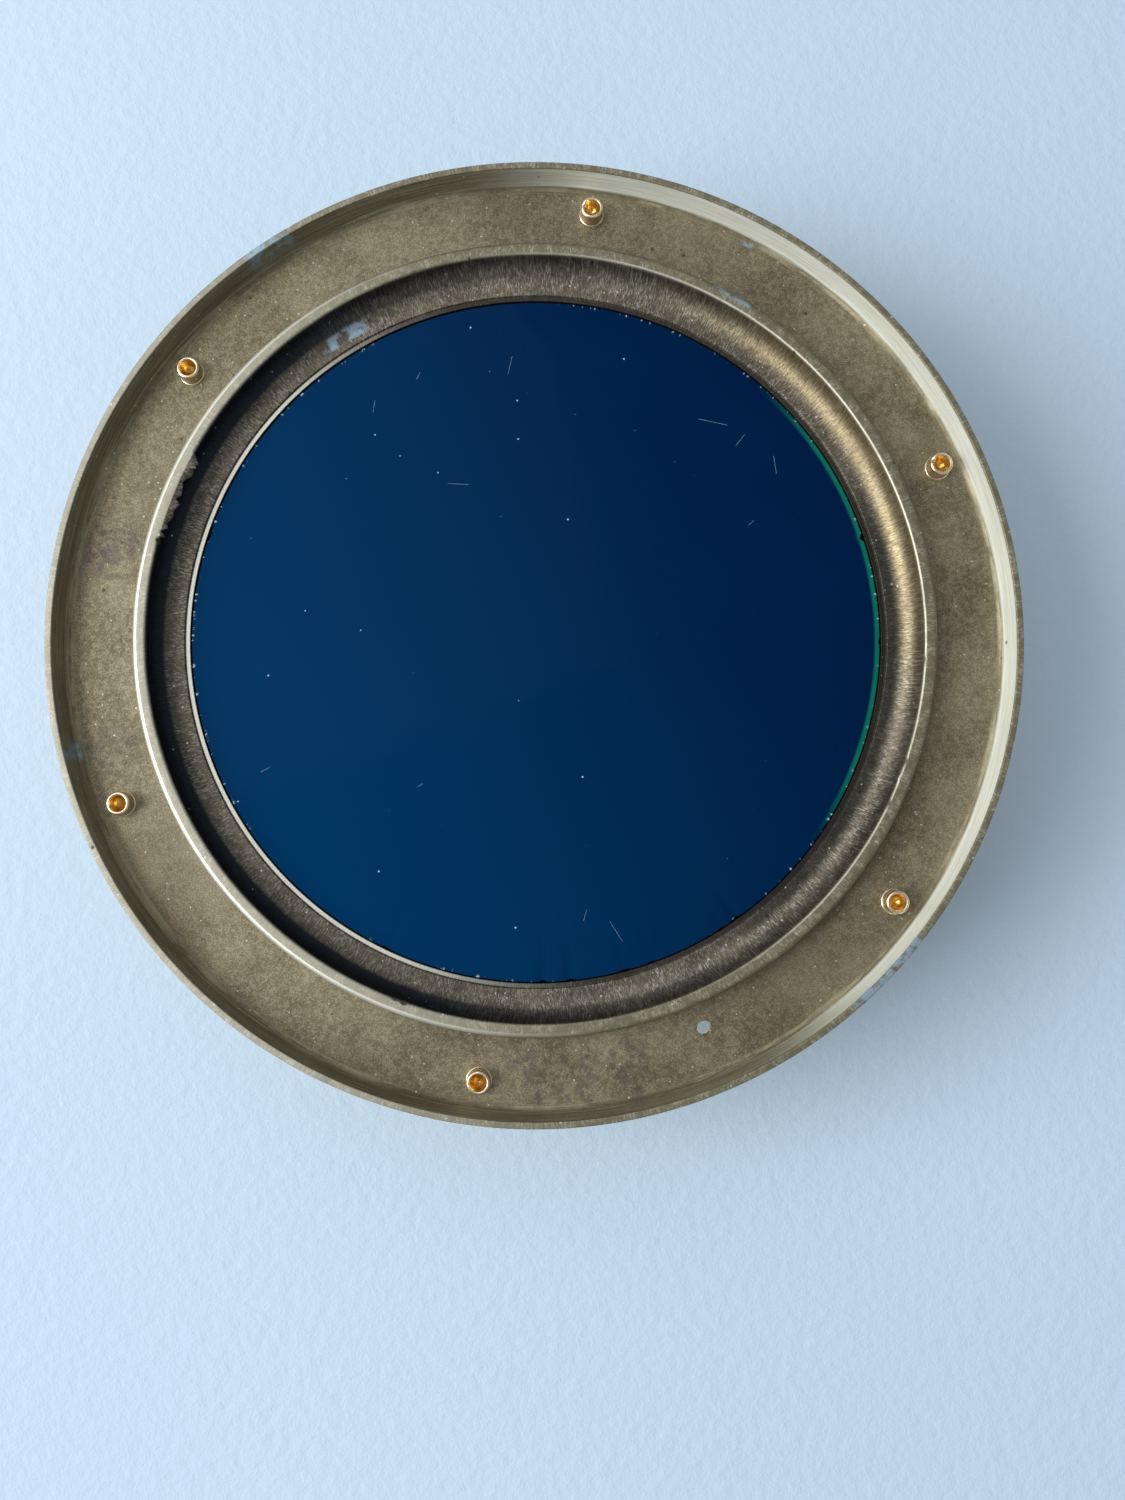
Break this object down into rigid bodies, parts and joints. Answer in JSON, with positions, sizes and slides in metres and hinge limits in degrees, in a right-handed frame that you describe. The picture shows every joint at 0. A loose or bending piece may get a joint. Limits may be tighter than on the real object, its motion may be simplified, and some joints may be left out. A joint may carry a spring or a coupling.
{
  "type": "deck clock",
  "caption": "Round brass bulkhead clock with a deep flanged case, dark blue back glass, domed rivets, hinged glazed bezel and spring-driven lever movement.",
  "frame": {"origin": "centre of the flange's rear rim plane, on the case axis", "axes": "-Y out of the dial, +Y out of the back, +Z towards twelve o'clock, +X towards three o'clock"},
  "size_m": [0.25, 0.062, 0.25],
  "materials": {
    "cast_brass": "aged unlacquered brass with grey-olive patina and bright rubbed edges",
    "polished_brass": "polished brass, lightly hazed",
    "movement_brass": "fine grained movement brass",
    "rivet_brass": "bright turned brass",
    "blue_glass": "glass plate with dark navy backing, glossy, green edge",
    "clear_glass": "clear float glass",
    "steel": "polished arbor steel",
    "blued_steel": "heat-blued steel",
    "spring_steel": "tempered spring strip",
    "dial_enamel": "satin ivory-white dial paint with black printing",
    "black_rubber": "matt black rubber",
    "ruby": "synthetic ruby",
    "balance_alloy": "polished balance alloy"
  },
  "bodies": {
    "case": {"case_flange": "cast_brass", "case_drum": "polished_brass", "dome_rivets": "rivet_brass", "back_glass": "blue_glass", "back_glass_gasket": "black_rubber", "bezel_seal": "black_rubber", "hinge_bracket": "polished_brass", "hinge_pin": "steel", "bracket_screws": "steel", "latch_bracket": "polished_brass", "latch_stud": "steel", "dial_bed": "movement_brass", "flat_head_screws": "steel", "movement_spacers": "movement_brass", "dial_plate": "dial_enamel", "dial_screws": "steel", "dial_surround": "polished_brass", "back_plate": "movement_brass", "front_plate": "movement_brass", "plate_pillars": "movement_brass", "click_screw": "steel", "click_spring": "spring_steel", "minute_wheel_stud": "steel"},
    "bezel": {"bezel_ring": "polished_brass", "bezel_glass": "clear_glass", "glass_retaining_ring": "polished_brass", "bezel_knuckle": "polished_brass", "bezel_catch": "polished_brass"},
    "latch": {"latch_dog": "polished_brass", "latch_knob": "polished_brass"},
    "centre": {"centre_arbor": "steel", "centre_wheel": "movement_brass", "cannon_pinion": "steel", "minute_hand": "blued_steel", "hand_nut": "polished_brass"},
    "hour": {"hour_wheel": "movement_brass", "hour_hand": "blued_steel"},
    "motion": {"minute_wheel": "movement_brass"},
    "barrel": {"mainspring_barrel": "movement_brass", "barrel_cover": "movement_brass", "mainspring": "spring_steel"},
    "winder": {"barrel_arbor": "steel", "ratchet_wheel": "steel"},
    "click": {"click": "steel"},
    "intermediate": {"intermediate_arbor": "steel", "intermediate_wheel": "movement_brass"},
    "third": {"third_arbor": "steel", "third_wheel": "movement_brass"},
    "fourth": {"fourth_arbor": "steel", "fourth_wheel": "movement_brass", "seconds_hand": "blued_steel"},
    "escape": {"escape_arbor": "steel", "escape_wheel": "steel"},
    "lever": {"pallet_lever": "steel", "pallet_stones": "ruby", "lever_arbor": "steel"},
    "balance": {"balance_wheel": "balance_alloy", "balance_staff": "steel", "hairspring": "spring_steel"},
    "regulator": {"regulator": "steel"}
  },
  "joints": [
    {"name": "bezel_hinge", "type": "hinge", "parent": "case", "child": "bezel", "pos_m": [-0.1125, -0.0505, 0], "axis": [0, 0, -1], "range_deg": [0, 110]},
    {"name": "latch_turn", "type": "hinge", "parent": "case", "child": "latch", "pos_m": [0.1128, -0.0555, 0.014], "axis": [0, 1, 0], "range_deg": [0, 180]},
    {"name": "minute_hand_turn", "type": "hinge", "parent": "case", "child": "centre", "pos_m": [0, -0.0335, 0], "axis": [0, 1, 0], "continuous": true},
    {"name": "hour_hand_turn", "type": "hinge", "parent": "case", "child": "hour", "pos_m": [0, -0.0435, 0], "axis": [0, 1, 0], "continuous": true},
    {"name": "minute_wheel_turn", "type": "hinge", "parent": "case", "child": "motion", "pos_m": [0.01212, -0.0405, -0.007], "axis": [0, 1, 0], "continuous": true},
    {"name": "intermediate_turn", "type": "hinge", "parent": "case", "child": "intermediate", "pos_m": [-0.018, -0.0285, -0.0135], "axis": [0, 1, 0], "continuous": true},
    {"name": "barrel_turn", "type": "hinge", "parent": "case", "child": "barrel", "pos_m": [0, -0.0235, -0.03362], "axis": [0, 1, 0], "continuous": true},
    {"name": "third_turn", "type": "hinge", "parent": "case", "child": "third", "pos_m": [-0.00673, -0.0285, 0.02147], "axis": [0, 1, 0], "continuous": true},
    {"name": "seconds_turn", "type": "hinge", "parent": "case", "child": "fourth", "pos_m": [0, -0.0285, 0.038], "axis": [0, 1, 0], "continuous": true},
    {"name": "escape_turn", "type": "hinge", "parent": "case", "child": "escape", "pos_m": [0.01436, -0.0255, 0.03131], "axis": [0, 1, 0], "continuous": true},
    {"name": "winding_turn", "type": "hinge", "parent": "case", "child": "winder", "pos_m": [0, -0.0335, -0.03362], "axis": [0, 1, 0], "range_deg": [0, 2700]},
    {"name": "click_lift", "type": "hinge", "parent": "case", "child": "click", "pos_m": [0.0005, -0.04, -0.0221], "axis": [0, 1, 0], "range_deg": [0, 6]},
    {"name": "pallet_rock", "type": "hinge", "parent": "case", "child": "lever", "pos_m": [0.0193, -0.0255, 0.02717], "axis": [0, 1, 0], "range_deg": [-4, 4]},
    {"name": "balance_swing", "type": "hinge", "parent": "case", "child": "balance", "pos_m": [0.02773, -0.0285, 0.0201], "axis": [0, 1, 0], "range_deg": [-270, 270]},
    {"name": "regulator_turn", "type": "hinge", "parent": "case", "child": "regulator", "pos_m": [0.02773, -0.0365, 0.0201], "axis": [0, 1, 0], "range_deg": [-15, 15]}
  ],
  "couplings": [
    {"joint": "hour_hand_turn", "follows": "minute_hand_turn", "ratio": 0.083333},
    {"joint": "minute_wheel_turn", "follows": "minute_hand_turn", "ratio": -0.33333},
    {"joint": "intermediate_turn", "follows": "minute_hand_turn", "ratio": -0.25},
    {"joint": "barrel_turn", "follows": "minute_hand_turn", "ratio": 0.038462},
    {"joint": "third_turn", "follows": "minute_hand_turn", "ratio": -8},
    {"joint": "seconds_turn", "follows": "minute_hand_turn", "ratio": 60},
    {"joint": "escape_turn", "follows": "minute_hand_turn", "ratio": -600}
  ]
}
